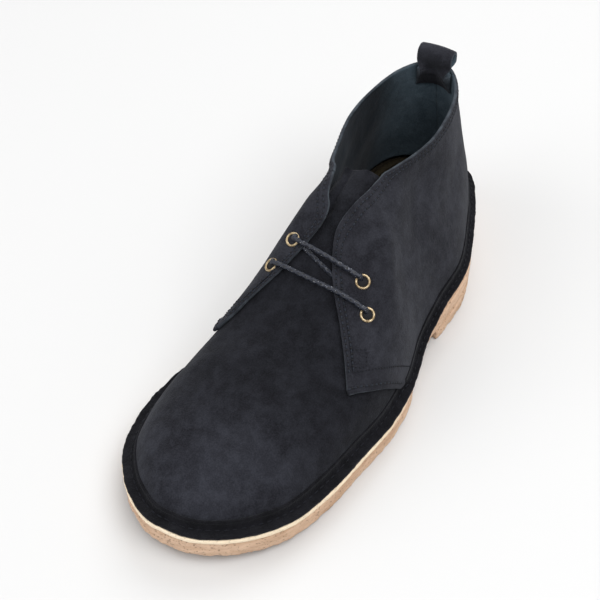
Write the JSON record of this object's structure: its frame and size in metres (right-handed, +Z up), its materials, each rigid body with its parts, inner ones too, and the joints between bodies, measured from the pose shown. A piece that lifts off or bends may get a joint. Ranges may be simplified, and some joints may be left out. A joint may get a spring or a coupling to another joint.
{
  "type": "chukka boot",
  "caption": "Ankle-high suede chukka boot with open lacing through metal eyelets, turned-out stitched edge, crepe sole with low heel and a pull loop at the back.",
  "frame": {"origin": "middle of the box round the whole boot, on the floor that it stands on", "axes": "+X from the heel to the toe, +Y to the outer side of the foot (the wearer's left, as this is a left boot), +Z up"},
  "size_m": [0.298, 0.1136, 0.111],
  "materials": {
    "suede": "matte",
    "sock": "matte",
    "midsole_rubber": "matte",
    "crepe": "matte",
    "brass": "satin",
    "waxed_cord": "satin"
  },
  "bodies": {
    "root": {"upper": "suede", "tongue": "suede", "insole": "sock", "midsole": "midsole_rubber", "outsole": "crepe", "heel_lift": "crepe", "pull_loop": "suede", "eyelet_outer_upper": "brass", "eyelet_outer_lower": "brass", "eyelet_inner_upper": "brass", "eyelet_inner_lower": "brass", "lace_bar_upper": "waxed_cord", "lace_bar_lower": "waxed_cord", "lace_diagonal": "waxed_cord"}
  },
  "joints": []
}
